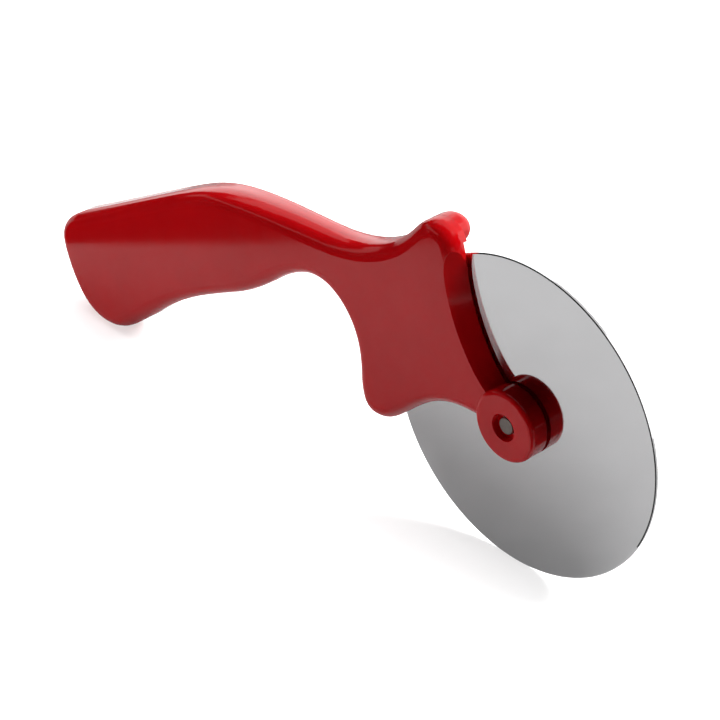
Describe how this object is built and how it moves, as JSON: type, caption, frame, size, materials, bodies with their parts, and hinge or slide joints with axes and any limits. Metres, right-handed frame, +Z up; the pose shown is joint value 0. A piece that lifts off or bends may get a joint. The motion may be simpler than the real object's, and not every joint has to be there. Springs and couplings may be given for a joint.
{
  "type": "pastry cutter wheel",
  "caption": "Hand-held pastry cutter wheel: polished disc blade turning on an axle pin in the near cheek of a curved moulded handle.",
  "frame": {"origin": "bottom centre of the tool standing on the blade rim and the low corner of the handle's butt", "axes": "+X along the tool from the butt toward the blade, +Y along the axle away from the boss, +Z up"},
  "size_m": [0.2601, 0.015, 0.1028],
  "materials": {
    "handle_plastic": "glossy saturated red, slightly translucent",
    "blade_steel": "mirror polished stainless steel",
    "bush_plastic": "natural white bearing plastic",
    "washer_plastic": "natural white bearing plastic",
    "pin_steel": "turned stainless steel, dull end"
  },
  "bodies": {
    "handle": {"near_shell": "handle_plastic", "far_shell": "handle_plastic", "near_washer": "washer_plastic", "far_washer": "washer_plastic", "axle_pin": "pin_steel"},
    "wheel": {"blade": "blade_steel", "bush": "bush_plastic"}
  },
  "joints": [
    {"name": "wheel_spin", "type": "hinge", "parent": "handle", "child": "wheel", "pos_m": [0.08, 0, 0.05], "axis": [0, 1, 0], "continuous": true}
  ]
}
